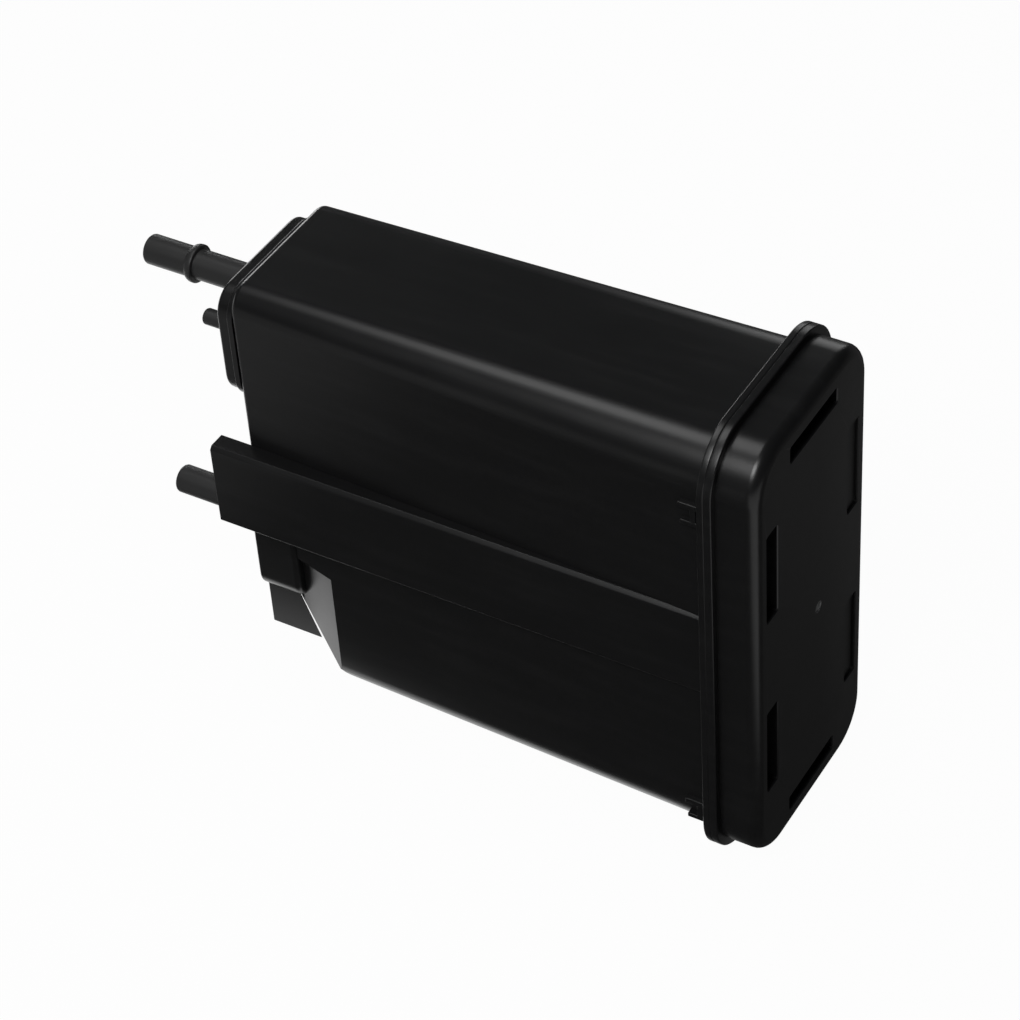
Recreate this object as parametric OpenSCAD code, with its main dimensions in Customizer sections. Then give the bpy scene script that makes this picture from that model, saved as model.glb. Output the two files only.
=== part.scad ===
// Charcoal canister for a vehicle's fuel vapour system: a welded plastic box with two carbon beds inside.
// X runs along the box from the port end to the cap, Y is its depth and Z its height, all in millimetres.

/* [Body] */
// Length of the moulded body from its port end to the weld plane
body_length = 211; // [196:0.5:226]
// Height of the body at the mouth, where the cap is welded on
mouth_height = 197; // [190:1:206]
// Depth of the body at the mouth
mouth_depth = 86; // [82:1:92]
// Corner radius of the body at the mouth
mouth_corner = 17; // [13:0.5:20]
// Height of the body at the port end
port_end_height = 192; // [188:1:196]
// Depth of the body at the port end
port_end_depth = 71; // [68:1:76]
// Corner radius of the body at the port end
port_end_corner = 10; // [8:0.5:13]
// Rounding between the port end and the sides
port_end_round = 2.5; // [1.5:0.1:3]
// Wall thickness of the mouldings
wall = 2.5; // [2:0.1:3]

/* [Weld flange and cap] */
// Thickness of each of the two flanges that are welded together
flange_thickness = 3; // [2.5:0.1:4]
// How far the flanges stand out beyond the side of the cap
flange_margin = 3.5; // [2.5:0.1:4.5]
// Width and depth of the groove that is left along the weld
weld_groove = 0.8; // [0.5:0.1:1.2]
// How far the side of the cap lies outside the side of the body
cap_margin_y = 3; // [2.5:0.1:4]
// How far the top of the cap lies above the top of the body
cap_margin_z = 4.5; // [3.5:0.1:5.5]
// Length of the cap from its flange to its end face
cap_length = 16.5; // [15:0.5:20]
// Corner radius of the cap
cap_corner = 20; // [17:0.5:24]
// Rounding between the end face and the sides of the cap
cap_edge_round = 5; // [3.5:0.1:6]
// Depth of the six pockets in the end face
pocket_depth = 6; // [4:0.1:7]
// Width of the four side pockets
side_pocket_width = 9.5; // [7:0.1:11]
// Length of the four side pockets
side_pocket_length = 43; // [36:1:48]
// Width of the top and bottom pockets
end_pocket_width = 8; // [6:0.1:9]
// Length of the top and bottom pockets
end_pocket_length = 39; // [30:1:44]
// Distance of the side pockets from the side of the cap
side_pocket_inset = 7.5; // [7:0.1:9]
// Height of the middle of the upper side pockets above the middle of the cap
side_pocket_height = 44.5; // [40:0.5:48]
// Distance of the top and bottom pockets from the top and bottom of the cap
end_pocket_inset = 9; // [7.5:0.1:11]
// Wall behind and around the pockets
pocket_wall = 2; // [1.5:0.1:2.5]
// Diameter of the moulding gate's dimple in the end face
gate_diameter = 5; // [3:0.1:7]
// Depth of the gate's dimple
gate_depth = 0.5; // [0.3:0.1:1]
// Length of the two catch ribs beside the body's flange
catch_length = 10; // [8:0.5:12]
// Width of the catch ribs
catch_width = 2.5; // [2:0.1:3.5]
// How far the catch ribs stand out from the body
catch_reach = 2.2; // [1.5:0.1:3]
// Distance of the upper catch rib from the top of the mouth
catch_from_top = 24.5; // [18:0.5:34]
// Distance of the lower catch rib from the bottom of the mouth
catch_from_bottom = 18.5; // [14:0.5:26]

/* [Port cover] */
// Height of the port cover's raised part
cover_height = 50.5; // [46:0.5:53]
// Depth of the port cover's raised part
cover_depth = 64; // [58:0.5:66]
// How far the port cover lies in front of the body's mid-plane
cover_forward = 2; // [0:0.5:3]
// Distance of the port cover from the top of the port end
cover_drop = 4; // [2.5:0.1:6]
// Corner radius of the port cover
cover_corner = 11; // [7:0.5:13]
// How far the port cover stands out from the body
cover_thickness = 8; // [7:0.1:11]
// Thickness of the port cover's welded base
cover_base = 2.5; // [2:0.1:3]
// How far the welded base stands out around the port cover
cover_rim = 1; // [0.6:0.1:1.5]
// Width of the body's end wall left under the port cover, around the opening behind it
cover_seat = 7; // [5:0.5:10]

/* [Ports] */
// Outside diameter of the tank port
tank_port_diameter = 12.6; // [11.6:0.1:14]
// Bore of the tank port
tank_port_bore = 8.6; // [7.6:0.1:9.2]
// Length of the tank port beyond the cover
tank_port_length = 55.5; // [50:0.5:62]
// Diameter of the locking bead on the tank port
bead_diameter = 16; // [15:0.1:17]
// Width of the locking bead
bead_width = 4; // [3:0.1:5]
// Distance from the tip of the tank port to the middle of the bead
bead_setback = 22; // [18:0.5:25]
// Height of the tank port above the middle of the port cover
tank_port_rise = 6.2; // [3:0.1:9]
// Outside diameter of the purge port
purge_port_diameter = 6.8; // [6:0.1:8]
// Bore of the purge port
purge_port_bore = 3.8; // [3:0.1:4.4]
// Length of the purge port beyond the cover
purge_port_length = 16; // [12:0.5:22]
// Distance of the purge port in front of the tank port
purge_port_forward = 20; // [17:0.5:22]
// Distance of the purge port below the middle of the port cover
purge_port_fall = 0.3; // [0:0.1:4]
// Outside diameter of the vent port
vent_port_diameter = 11.8; // [10.6:0.1:12.2]
// Bore of the vent port
vent_port_bore = 8; // [7:0.1:8.6]
// Length of the vent port beyond the duct
vent_port_length = 22.5; // [18:0.5:28]
// Distance of the vent port's middle behind the front of the duct
vent_port_inset = 8; // [7.5:0.1:9]
// Distance of the vent port's middle below the middle of the duct
vent_port_fall = 11; // [10:0.1:12]

/* [Side duct] */
// Height of the duct along the front side
duct_height = 40; // [37:0.5:42]
// How far the duct stands proud of the body at the mouth
duct_proud = 1; // [0.6:0.1:2]
// How far the duct reaches past the port end
duct_overhang = 13; // [10:0.5:17]
// Height of the middle of the duct above the middle of the body
duct_rise = 1.2; // [0:0.1:3]
// Depth of the duct's flat top past the port end
duct_ledge = 8.5; // [7:0.5:10]
// Depth of the duct past the port end
duct_depth = 16; // [15:0.5:18]
// How far the sloping top of the duct falls towards the back
duct_fall = 11; // [8:0.5:13]
// Bevel along the front edges of the duct
duct_bevel = 1.5; // [1:0.1:2]

/* [Mounting notch] */
// Length of the sloping underside, from the port end to the foot of the slope
notch_length = 39.5; // [36:0.5:44]
// Angle of the sloping underside in degrees
notch_slope = 42; // [38:1:46]
// Length of the slanted facet along the front, from the port end to its far edge
facet_length = 32.5; // [29:0.5:37]
// Angle of the slanted facet to the front in degrees
facet_turn = 26; // [22:1:30]
// Height of the vent housing above the body's own underside
notch_height = 31; // [27:0.5:34]
// Length of the vent housing
housing_length = 20.5; // [18:0.5:23]
// How far the front of the vent housing is set back from the front of the body
notch_setback = 5; // [4:0.1:7]
// How far the vent housing reaches past the port end
housing_reach = 8; // [6:0.5:11]
// Bottom edge radius of the vent housing
housing_round = 9; // [6:0.5:11]
// How far the vent housing reaches up behind the duct
housing_rise = 6; // [4:0.5:10]
// How far the mounting tongue hangs below the vent housing
tongue_drop = 22; // [18:0.5:25]
// Thickness of the mounting tongue
tongue_thickness = 4; // [3:0.1:6]
// Distance of the mounting tongue from the front of the vent housing
tongue_inset = 5; // [3:0.5:7]

/* [Inside] */
// Gap between the pieces in the chambers and the walls
clearance = 0.4; // [0.3:0.05:0.6]
// Height of the partition between the two chambers above the middle of the body
partition_rise = 3; // [0:0.5:6]
// How far the partition reaches past the pressure plates
partition_reach = 8; // [5:0.5:10]
// Space between the port end and the screen of the main chamber
main_plenum = 7.5; // [6.5:0.1:10]
// Width of the ledges that the screens rest against
ledge_width = 3; // [2.5:0.1:4]
// Length of those ledges
ledge_length = 40; // [30:1:46]
// Thickness of the felt filters
filter_thickness = 4; // [3:0.1:6]
// Thickness of the slotted plates and screens
plate_thickness = 3; // [2.5:0.1:4]
// Distance from the weld plane to the pressure plates
plate_depth = 22; // [16:0.5:26]
// Width of the slots in plates and screens
slot_width = 3.5; // [2.5:0.1:4.5]
// Length of the slots
slot_length = 23; // [18:0.5:25]
// Width of the bridge between the two columns of slots
slot_bridge = 7; // [5:0.5:9]
// Least distance from one slot to the next, middle to middle
slot_pitch = 9; // [7:0.5:12]
// Distance of the slots from the upper and lower edges of plates and screens
slot_margin = 9; // [7:0.5:14]
// Mean diameter of the springs
spring_diameter = 17; // [14:0.5:20]
// Wire diameter of the springs
spring_wire = 1.8; // [1.4:0.1:2.2]
// Distance of each spring from the middle of its chamber
spring_spread = 20; // [16:0.5:22]
// Number of turns in each spring
spring_turns = 4; // [3:1:5]
// Length of the spring seats inside the cap
seat_length = 4; // [3:0.5:6]

/* [Hidden] */
$fn = 48;
// Small overlap between solids that are joined, and overrun of cuts
eps = 0.01;
over = 1;
// Larger than the whole part, for cuts that have no end
far = 3 * body_length;
slice = 0.05;
least_corner = 1;
hull_fn = 40;
round_steps = 4;
plastic_black = [0.05, 0.05, 0.055];
plastic_white = [0.85, 0.84, 0.80];
felt_grey = [0.62, 0.60, 0.55];
carbon_black = [0.10, 0.10, 0.10];
spring_steel = [0.70, 0.71, 0.73];

x_port_end = -body_length;
x_mouth = -flange_thickness;
mouth_y = mouth_depth / 2;
mouth_z = mouth_height / 2;
end_y = port_end_depth / 2;
end_z = port_end_height / 2;
cap_y = mouth_y + cap_margin_y;
cap_z = mouth_z + cap_margin_z;
flange_y = cap_y + flange_margin;
flange_z = cap_z + flange_margin;
flange_corner = cap_corner + flange_margin;
x_cap_face = flange_thickness + cap_length;
x_cap_inside = x_cap_face - wall;

x_cover = x_port_end - cover_thickness;
x_tank_tip = x_cover - tank_port_length;
x_purge_tip = x_cover - purge_port_length;
x_bead = x_tank_tip + bead_setback;
cover_z = end_z - cover_drop - cover_height / 2;
tank_port_z = cover_z + tank_port_rise;
purge_port_y = -purge_port_forward;
purge_port_z = cover_z - purge_port_fall;

duct_y = mouth_y + duct_proud;
duct_top = duct_rise + duct_height / 2;
duct_bottom = duct_rise - duct_height / 2;
x_duct = x_port_end - duct_overhang;
x_vent_tip = x_duct - vent_port_length;
vent_port_y = -duct_y + vent_port_inset;
vent_port_z = duct_rise - vent_port_fall;

notch_z = -end_z + notch_height;
x_slope_foot = x_port_end + notch_length;
x_facet = x_port_end + facet_length;
facet_y = y_at(x_facet);
housing_y = end_y - notch_setback;
x_housing = x_port_end - housing_reach;
x_housing_end = x_housing + housing_length;
housing_top = duct_bottom + housing_rise;
tongue_y = -housing_y + tongue_inset;

part_z = partition_rise;
x_part_end = -plate_depth + partition_reach;
main_floor = part_z + wall / 2;
vent_ceiling = part_z - wall / 2;
x_plate = -plate_depth;
x_cap_filter = x_plate - plate_thickness;
x_bed_end = x_cap_filter - filter_thickness;
x_main_screen = x_port_end + main_plenum;
x_vent_screen = x_slope_foot + wall * tan(notch_slope / 2) + ledge_width;
ledge_sink = wall / 2;

wire_points = 6;
spring_steps = 14;
main_mid_z = (part_z + mouth_z) / 2;
vent_mid_z = (part_z - mouth_z) / 2;
spring_length = x_cap_inside - x_plate;

pocket_y = cap_y - side_pocket_inset - side_pocket_width / 2;
pocket_z = cap_z - end_pocket_inset - end_pocket_width / 2;

x_middle = (x_cap_face + x_tank_tip) / 2;
z_floor = -flange_z;

// Half depth of the drafted body at x
function y_at(x) = end_y + (mouth_y - end_y) * (x - x_port_end) / (x_mouth - x_port_end);

// Half height of the drafted body at x
function z_at(x) = end_z + (mouth_z - end_z) * (x - x_port_end) / (x_mouth - x_port_end);

// Moves the part so that the middle of its footprint is the origin
module place() {
    translate([-x_middle, 0, -z_floor]) children();
}

// Flat rounded rectangle in Y and Z, standing at x with the given thickness
module slab(x, thickness, y, z, corner) {
    translate([x, 0, 0])
        rotate([90, 0, 90])
            linear_extrude(height = thickness)
                rounded(y, z, corner);
}

// Rounded rectangle with half sizes y and z
module rounded(y, z, corner) {
    square([2 * (y - corner), 2 * z], center = true);
    square([2 * y, 2 * (z - corner)], center = true);
    for (sy = [-1, 1], sz = [-1, 1])
        translate([sy * (y - corner), sz * (z - corner)])
            circle(r = corner);
}

// Drafted outside of the body, moved inwards by inset; the mouth end runs on by extra
module draft_box(inset, extra) {
    corner_end = max(port_end_corner - inset, least_corner);
    corner_mouth = max(mouth_corner - inset, least_corner);
    hull() {
        for (i = [0 : round_steps]) {
            turn = 90 * i / round_steps;
            back = port_end_round * (1 - sin(turn));
            tuck = port_end_round * (1 - cos(turn));
            slab(x_port_end + inset + tuck, slice, end_y - inset - back, end_z - inset - back,
                max(corner_end - back, least_corner), $fn = hull_fn);
        }
        slab(x_mouth + extra, slice, mouth_y - inset, mouth_z - inset, corner_mouth, $fn = hull_fn);
    }
}

// Slice of one chamber between two X planes and two heights, clear of the walls
module chamber_slice(x0, x1, z0, z1) {
    intersection() {
        draft_box(wall + clearance, flange_thickness);
        translate([x0, -far / 2, z0])
            cube([x1 - x0, far, z1 - z0]);
    }
}

module main_slice(x0, x1) {
    chamber_slice(x0, x1, main_floor + clearance, far / 2);
}

module vent_slice(x0, x1) {
    chamber_slice(x0, x1, -far / 2, vent_ceiling - clearance);
}

// Two columns of slots through a plate, between two heights
module slots(x, z0, z1) {
    rows = floor((z1 - z0) / slot_pitch);
    pitch = (z1 - z0) / rows;
    for (i = [0 : rows - 1], sy = [-1, 1])
        translate([x + plate_thickness / 2, sy * (slot_bridge + slot_length) / 2, z0 + (i + 0.5) * pitch])
            cube([plate_thickness + 2 * over, slot_length, slot_width], center = true);
}

// Space in front of the slanted facet, moved back by inset
module notch_front_cut(inset) {
    x_edge = x_facet + inset / sin(facet_turn);
    x_near = x_port_end - over;
    y_near = -facet_y + (x_edge - x_near) * tan(facet_turn);
    translate([0, 0, duct_bottom + inset - far])
        linear_extrude(height = far)
            polygon([
                [x_edge + (flange_y - facet_y) / tan(facet_turn), -flange_y],
                [x_near, y_near],
                [x_near, -flange_y]
            ]);
}

// Space below the sloping underside, moved up by inset
module notch_under_cut(inset) {
    z_foot = inset / cos(notch_slope) - z_at(x_slope_foot);
    x_near = x_port_end - over;
    z_near = z_foot + (x_slope_foot - x_near) * tan(notch_slope);
    translate([0, far / 2, 0])
        rotate([90, 0, 0])
            linear_extrude(height = far)
                polygon([
                    [x_slope_foot + (z_foot - z_floor) / tan(notch_slope), z_floor],
                    [x_near, z_near],
                    [x_near, z_floor]
                ]);
}

// Cross-section of the vent housing, moved inwards by inset
module housing_section(inset) {
    y = housing_y - inset;
    low = notch_z + inset;
    radius = housing_round - inset;
    translate([-y + radius, low])
        square([2 * (y - radius), housing_top - low]);
    translate([-y, low + radius])
        square([2 * y, housing_top - inset - low - radius]);
    for (s = [-1, 1])
        translate([s * (y - radius), low + radius])
            circle(r = radius);
}

module housing(inset, x_end) {
    translate([x_housing + inset, 0, 0])
        rotate([90, 0, 90])
            linear_extrude(height = x_end - x_housing - inset)
                housing_section(inset);
}

// Part of the duct that stands past the port end and holds the vent port
module duct_head(inset) {
    top = duct_top - inset;
    bottom = duct_bottom + inset;
    front = -duct_y + inset;
    back = -duct_y + duct_depth - inset;
    translate([x_duct + inset, 0, 0])
        rotate([90, 0, 90])
            linear_extrude(height = duct_overhang + wall)
                polygon([
                    [front, bottom + duct_bevel],
                    [front, top - duct_bevel],
                    [front + duct_bevel, top],
                    [-duct_y + duct_ledge, top],
                    [back, top - duct_fall],
                    [back, bottom],
                    [front + duct_bevel, bottom]
                ]);
}

// Rail part of the duct along the side of the body
module duct_rail(inset, x0, x1) {
    top = duct_top - inset;
    bottom = duct_bottom + inset;
    front = -duct_y + inset;
    back = -end_y + 2 * wall;
    translate([x0, 0, 0])
        rotate([90, 0, 90])
            linear_extrude(height = x1 - x0)
                polygon([
                    [front, bottom + duct_bevel],
                    [front, top - duct_bevel],
                    [front + duct_bevel, top],
                    [back, top],
                    [back, bottom],
                    [front + duct_bevel, bottom]
                ]);
}

module tube(x0, x1, y, z, diameter) {
    translate([x0, y, z])
        rotate([0, 90, 0])
            cylinder(d = diameter, h = x1 - x0);
}

// Two short ribs in an L on the front of the body beside the flange
module catch_rib(z) {
    depth = catch_reach + wall / 2;
    translate([x_mouth - catch_length, -mouth_y - catch_reach, z])
        cube([catch_length + eps, depth, catch_width]);
    translate([x_mouth - catch_length / 2, -mouth_y - catch_reach, z - catch_length + catch_width])
        cube([catch_width, depth, catch_length]);
}

// Ledge that a screen rests against, on the wall at height z, with side 1 for a floor and -1 for a ceiling
module screen_ledge(x, z, side) {
    low = side > 0 ? z - ledge_sink : z - ledge_width + ledge_sink;
    translate([x - ledge_width, -ledge_length / 2, low])
        cube([ledge_width, ledge_length, ledge_width]);
}

module body_cavity() {
    difference() {
        union() {
            draft_box(wall, flange_thickness + over);
            duct_rail(wall, x_port_end - eps, x_mouth - wall);
            duct_head(wall);
        }
        translate([x_port_end - far / 2, -far / 2, part_z - wall / 2])
            cube([x_part_end - x_port_end + far / 2, far, wall]);
        notch_front_cut(wall);
        notch_under_cut(wall);
    }
    housing(wall, x_housing_end - wall);
}

// Opening in the port end behind the port cover
module cover_opening() {
    translate([x_port_end - over, -cover_forward - cover_depth / 2 + cover_seat,
        cover_z - cover_height / 2 + cover_seat])
        cube([wall + 2 * over, cover_depth - 2 * cover_seat, cover_height - 2 * cover_seat]);
}

module canister_body() {
    color(plastic_black)
        difference() {
            union() {
                difference() {
                    union() {
                        draft_box(0, over);
                        duct_rail(0, x_port_end, x_mouth + eps);
                    }
                    notch_front_cut(0);
                    notch_under_cut(0);
                }
                duct_head(0);
                housing(0, x_housing_end);
                translate([0, tongue_y + tongue_thickness, 0])
                    rotate([90, 0, 0])
                        linear_extrude(height = tongue_thickness)
                            tongue_side();
                slab(x_mouth, flange_thickness - weld_groove, flange_y, flange_z, flange_corner);
                slab(x_mouth, flange_thickness, flange_y - weld_groove, flange_z - weld_groove,
                    flange_corner - weld_groove);
                tube(x_vent_tip, x_duct + eps, vent_port_y, vent_port_z, vent_port_diameter);
                catch_rib(mouth_z - catch_from_top);
                catch_rib(-mouth_z + catch_from_bottom);
            }
            body_cavity();
            cover_opening();
            tube(x_vent_tip - over, x_duct + wall + over, vent_port_y, vent_port_z, vent_port_bore);
        }
    color(plastic_black) {
        screen_ledge(x_main_screen, main_floor, 1);
        screen_ledge(x_main_screen, z_at(x_main_screen) - wall, -1);
        screen_ledge(x_vent_screen, wall - z_at(x_vent_screen), 1);
        screen_ledge(x_vent_screen, vent_ceiling, -1);
    }
}

// Side outline of the mounting tongue, from the vent housing down to its lower edge
module tongue_side() {
    lap = wall / 2;
    low = notch_z - tongue_drop;
    x_low = x_slope_foot - (low + z_at(x_slope_foot)) / tan(notch_slope);
    polygon([
        [x_housing, low],
        [x_low + lap, low],
        [x_housing_end, notch_z + lap],
        [x_housing, notch_z + lap]
    ]);
}

// Outside of the cap from x0 to its end face, moved inwards by inset
module cap_shell(inset, x0) {
    hull() {
        slab(x0, x_cap_face - inset - cap_edge_round - x0, cap_y - inset, cap_z - inset, cap_corner - inset,
            $fn = hull_fn);
        for (i = [1 : round_steps]) {
            turn = 90 * i / round_steps;
            tuck = cap_edge_round * (1 - cos(turn));
            out = cap_edge_round * (1 - sin(turn));
            slab(x_cap_face - inset - out - slice, slice, cap_y - inset - tuck, cap_z - inset - tuck,
                cap_corner - inset - tuck, $fn = hull_fn);
        }
    }
}

// Boxes of the six end-face pockets, grown by margin on every side but the front
module pockets(margin) {
    x0 = x_cap_face - pocket_depth - margin;
    deep = pocket_depth + margin + over;
    for (sy = [-1, 1], sz = [-1, 1])
        translate([x0, sy * pocket_y - side_pocket_width / 2 - margin,
            sz * side_pocket_height - side_pocket_length / 2 - margin])
            cube([deep, side_pocket_width + 2 * margin, side_pocket_length + 2 * margin]);
    for (sz = [-1, 1])
        translate([x0, -end_pocket_length / 2 - margin, sz * pocket_z - end_pocket_width / 2 - margin])
            cube([deep, end_pocket_length + 2 * margin, end_pocket_width + 2 * margin]);
}

module spring_seat(z) {
    tube(x_cap_inside - seat_length, x_cap_inside + eps, 0, z,
        spring_diameter - spring_wire - 2 * clearance);
}

module end_cap() {
    color(plastic_black)
        difference() {
            union() {
                difference() {
                    union() {
                        cap_shell(0, 0);
                        slab(0, flange_thickness, flange_y, flange_z, flange_corner);
                    }
                    difference() {
                        cap_shell(wall, -over);
                        pockets(pocket_wall);
                    }
                }
                for (z = [main_mid_z, vent_mid_z], s = [-1, 1]) spring_seat(z + s * spring_spread);
            }
            pockets(0);
            tube(x_cap_face - gate_depth, x_cap_face + over, 0, 0, gate_diameter);
        }
}

module cover_block(x0, x1, grow) {
    translate([0, -cover_forward, cover_z])
        slab(x0, x1 - x0, cover_depth / 2 + grow, cover_height / 2 + grow, cover_corner + grow);
}

module port_cover() {
    color(plastic_black)
        difference() {
            union() {
                cover_block(x_port_end - cover_base, x_port_end, cover_rim);
                cover_block(x_cover, x_port_end, 0);
                tube(x_tank_tip, x_cover + eps, 0, tank_port_z, tank_port_diameter);
                tube(x_bead - bead_width / 2, x_bead + bead_width / 2, 0, tank_port_z, bead_diameter);
                tube(x_purge_tip, x_cover + eps, purge_port_y, purge_port_z, purge_port_diameter);
            }
            cover_block(x_cover + wall, x_port_end + over, -wall);
            tube(x_tank_tip - over, x_cover + wall + over, 0, tank_port_z, tank_port_bore);
            tube(x_purge_tip - over, x_cover + wall + over, purge_port_y, purge_port_z, purge_port_bore);
        }
}

module main_port_screen() {
    color(plastic_white)
        difference() {
            main_slice(x_main_screen, x_main_screen + plate_thickness);
            slots(x_main_screen, main_floor + slot_margin, z_at(x_main_screen) - wall - slot_margin);
        }
}

module main_port_filter() {
    color(felt_grey)
        main_slice(x_main_screen + plate_thickness, x_main_screen + plate_thickness + filter_thickness);
}

module main_carbon_bed() {
    color(carbon_black)
        main_slice(x_main_screen + plate_thickness + filter_thickness, x_bed_end);
}

module main_cap_filter() {
    color(felt_grey) main_slice(x_bed_end, x_cap_filter);
}

module main_pressure_plate() {
    color(plastic_white)
        difference() {
            main_slice(x_cap_filter, x_plate);
            slots(x_cap_filter, main_floor + slot_margin, z_at(x_cap_filter) - wall - slot_margin);
        }
}

// Coil spring along X between the pressure plate and the cap, its wire round across the coil
module spring(z) {
    coil = spring_diameter / 2;
    lead = spring_length / spring_turns;
    spread = 360 * spring_wire / 2 / lead;
    color(spring_steel)
        translate([x_plate, 0, z])
            rotate([0, 90, 0])
                linear_extrude(height = spring_length, twist = 360 * spring_turns,
                    slices = spring_turns * spring_steps, $fn = 2 * wire_points)
                    polygon([for (i = [0 : 2 * wire_points - 1])
                        let (around = 180 * i / wire_points,
                            turn = spread * cos(around),
                            r = coil + spring_wire / 2 * sin(around))
                        [r * cos(turn), r * sin(turn)]]);
}

module main_spring_upper() {
    spring(main_mid_z + spring_spread);
}

module main_spring_lower() {
    spring(main_mid_z - spring_spread);
}

module vent_port_screen() {
    color(plastic_white)
        difference() {
            vent_slice(x_vent_screen, x_vent_screen + plate_thickness);
            slots(x_vent_screen, wall + slot_margin - z_at(x_vent_screen), vent_ceiling - slot_margin);
        }
}

module vent_port_filter() {
    color(felt_grey)
        vent_slice(x_vent_screen + plate_thickness, x_vent_screen + plate_thickness + filter_thickness);
}

module vent_carbon_bed() {
    color(carbon_black)
        vent_slice(x_vent_screen + plate_thickness + filter_thickness, x_bed_end);
}

module vent_cap_filter() {
    color(felt_grey) vent_slice(x_bed_end, x_cap_filter);
}

module vent_pressure_plate() {
    color(plastic_white)
        difference() {
            vent_slice(x_cap_filter, x_plate);
            slots(x_cap_filter, wall + slot_margin - z_at(x_cap_filter), vent_ceiling - slot_margin);
        }
}

module vent_spring_upper() {
    spring(vent_mid_z + spring_spread);
}

module vent_spring_lower() {
    spring(vent_mid_z - spring_spread);
}

place() canister_body();
place() end_cap();
place() port_cover();
place() main_port_screen();
place() main_port_filter();
place() main_carbon_bed();
place() main_cap_filter();
place() main_pressure_plate();
place() main_spring_upper();
place() main_spring_lower();
place() vent_port_screen();
place() vent_port_filter();
place() vent_carbon_bed();
place() vent_cap_filter();
place() vent_pressure_plate();
place() vent_spring_upper();
place() vent_spring_lower();
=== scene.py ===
"""Charcoal canister of a vehicle's fuel vapour system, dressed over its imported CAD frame."""

import math

import bmesh
import bpy
from bpy.props import FloatProperty, FloatVectorProperty, PointerProperty
from mathutils import Matrix, Vector


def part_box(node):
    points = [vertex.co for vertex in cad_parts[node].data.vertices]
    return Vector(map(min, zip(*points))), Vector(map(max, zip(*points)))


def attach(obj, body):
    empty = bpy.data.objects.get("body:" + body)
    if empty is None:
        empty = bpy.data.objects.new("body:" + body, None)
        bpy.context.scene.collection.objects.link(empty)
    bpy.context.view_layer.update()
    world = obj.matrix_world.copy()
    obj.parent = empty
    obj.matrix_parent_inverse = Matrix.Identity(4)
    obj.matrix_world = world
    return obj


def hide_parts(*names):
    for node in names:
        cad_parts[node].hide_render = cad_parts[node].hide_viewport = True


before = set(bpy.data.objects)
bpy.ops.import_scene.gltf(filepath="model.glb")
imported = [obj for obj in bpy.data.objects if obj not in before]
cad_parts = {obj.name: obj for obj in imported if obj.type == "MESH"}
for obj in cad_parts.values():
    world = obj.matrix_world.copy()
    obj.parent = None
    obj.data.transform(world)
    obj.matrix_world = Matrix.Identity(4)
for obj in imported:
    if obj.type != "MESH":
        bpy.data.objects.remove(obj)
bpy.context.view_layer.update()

bl_info = {
    "name": "Charcoal canister",
    "version": (1, 0, 0),
    "blender": (4, 5, 0),
    "location": "View3D > Sidebar > Canister",
    "description": "Builds the mouldings, finishes and studio of a charcoal canister",
    "category": "Object",
}

BODY_LOW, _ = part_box("canister_body")
CAP_LOW, CAP_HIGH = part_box("end_cap")
COVER_LOW, COVER_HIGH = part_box("port_cover")
PORT_END = COVER_HIGH.x
WELD = CAP_LOW.x
MIDDLE = (CAP_LOW.z + CAP_HIGH.z) / 2
FLANGE_HALF = (CAP_HIGH.y, CAP_HIGH.z - MIDDLE)

WHITE_NODES = ("main_port_screen", "main_pressure_plate", "vent_port_screen", "vent_pressure_plate")
FELT_NODES = ("main_port_filter", "main_cap_filter", "vent_port_filter", "vent_cap_filter")
CARBON_NODES = ("main_carbon_bed", "vent_carbon_bed")
SPRING_NODES = ("main_spring_upper", "main_spring_lower", "vent_spring_upper", "vent_spring_lower")

# Places of the finishes in the list of materials of a black moulding.
# The second of these is the black lightened for the tubes: partly wear, partly painted light.
SATIN, WORN_AND_PAINTED_LIGHT, MATT, TORN_AND_PAINTED_GLINT = range(4)
# Outputs of the texture coordinate node and of the light path node.
OBJECT_SPOT = 3
CAMERA_RAY, GLOSSY_RAY = 0, 3

ALONG, UP = Vector((1.0, 0.0, 0.0)), Vector((0.0, 0.0, 1.0))
EVEN = (1.0, 1.0, 1.0)
WHITE = (1.0, 1.0, 1.0, 1.0)
# A point closer to a plane than the first lies in it. Points closer than the second become one.
NEAR, MERGED = 1e-5, 1e-7
# Edges that bend more than this stay sharp to the light.
SHARP_BEND = math.radians(38)
# Satin plastic is no glossier than this: under about 0.274 the denoiser leaves dark dots.
LEAST_ROUGH = 0.283
# The walls bow in from the first place towards the plain side, at the second rate.
BOW_START, BOW_RATE = 0.005, 1400.0

# Roundings of small edges.
BOX_ROUND, DUCT_ROUND, TONGUE_ROUND, RIB_ROUND = 0.0009, 0.00035, 0.0005, 0.0004
HOUSING_CAP_RIM, HOUSING_PORT_RIM = 0.0028, 0.0012
FLANGE_ROUND, CAP_FLANGE_ROUND, CAP_WELD_ROUND, BASE_ROUND = 0.0005, 0.0006, 0.0003, 0.0005
# How far a tube, the duct's head, the housing, the tongue and a catch rib reach into what carries them.
TUBE_ROOT, HEAD_ROOT, HOUSING_ROOT, TONGUE_ROOT, RIB_ROOT = 0.0015, 0.002, 0.006, 0.00125, 0.002
# Lead-ins at a tube's tip, outside and inside, and the number of outline points up to where they end.
TIP_LEAD, BORE_LEAD = 0.0012, 0.0004
TIP_POINTS = 6
# Place of the vent port behind the duct's front and its height.
VENT_PORT_IN, VENT_PORT_UP = 0.008, 0.0967
# Depth of the duct where it runs along the box.
DUCT_RAIL = 0.012
# Heights of the two catches, and each rib's start and end from the flange, lower and upper edge and stand.
CATCH_HEIGHTS = (0.1805, 0.0265)
CATCH_RIBS = ((-0.010, 0.0005, 0.0, 0.0025, 0.0022), (-0.005, -0.0025, -0.0075, 0.0024, 0.0021),
              (-0.009, 0.0005, -0.0075, -0.0055, 0.0022))
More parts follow.
